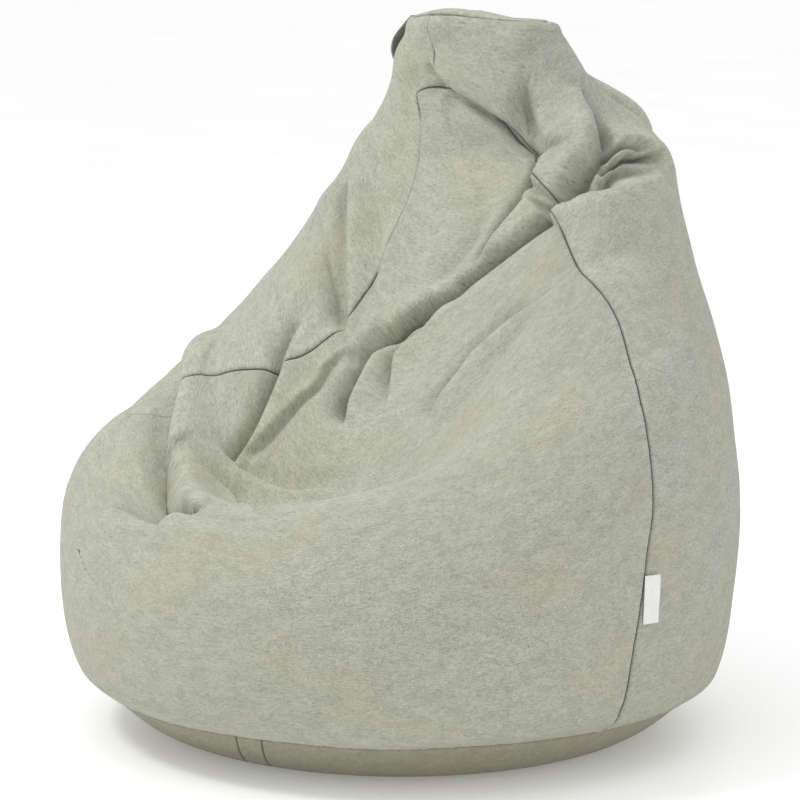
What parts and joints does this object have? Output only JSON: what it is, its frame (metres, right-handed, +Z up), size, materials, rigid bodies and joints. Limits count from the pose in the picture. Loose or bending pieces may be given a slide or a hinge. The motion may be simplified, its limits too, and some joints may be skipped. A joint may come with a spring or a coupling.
{
  "type": "bean bag chair",
  "caption": "Pear-shaped bean bag chair in woven cloth, with a pressed-in seat, a slack hood, a carry handle and a zipped base.",
  "frame": {"origin": "middle of the base, on the floor", "axes": "+Z up, -Y the way a sitter faces, +X to the sitter's left"},
  "size_m": [0.8985, 0.9017, 0.95],
  "materials": {
    "cover_cloth": "matt woven melange upholstery cloth, light sage grey",
    "zip_tape": "woven tape",
    "zip_coil": "moulded nylon coils",
    "zip_metal": "plated die-cast metal",
    "label_cloth": "smooth woven ribbon, blank",
    "liner_cloth": "thin plain white lining",
    "beads": "white expanded foam beads"
  },
  "bodies": {
    "bag": {"front_panel": "cover_cloth", "left_back_panel": "cover_cloth", "right_back_panel": "cover_cloth", "top_cap": "cover_cloth", "base_left_panel": "cover_cloth", "base_right_panel": "cover_cloth", "zip_end_strip_front": "cover_cloth", "zip_end_strip_back": "cover_cloth", "zip_tape_left": "zip_tape", "zip_tape_right": "zip_tape", "zip_coil_left": "zip_coil", "zip_coil_right": "zip_coil", "zip_stop_front": "zip_metal", "zip_stop_back": "zip_metal", "liner_left_panel": "liner_cloth", "liner_right_panel": "liner_cloth", "liner_cap": "liner_cloth", "liner_base": "liner_cloth", "liner_closure_tape": "zip_tape", "bead_filling": "beads"},
    "slider": {"zip_slider": "zip_metal"},
    "puller": {"zip_puller": "zip_metal"},
    "handle": {"carry_handle": "cover_cloth"},
    "label": {"side_label": "label_cloth"}
  },
  "joints": [
    {"name": "zip_slide", "type": "slide", "parent": "bag", "child": "slider", "axis": [0, 1, 0], "range_m": [0, 0.466]},
    {"name": "puller_swing", "type": "hinge", "parent": "slider", "child": "puller", "pos_m": [0, -0.2325, 0.0033], "axis": [-1, 0, 0], "range_deg": [0, 90]},
    {"name": "handle_swing", "type": "hinge", "parent": "bag", "child": "handle", "pos_m": [-0.11331, 0.214, 0.93909], "axis": [0, 1, 0], "range_deg": [0, 140]},
    {"name": "label_flip", "type": "hinge", "parent": "bag", "child": "label", "pos_m": [0.44121, -0.09444, 0.23598], "axis": [-0.0206, -0.0306, -0.9993], "range_deg": [0, 150]}
  ]
}
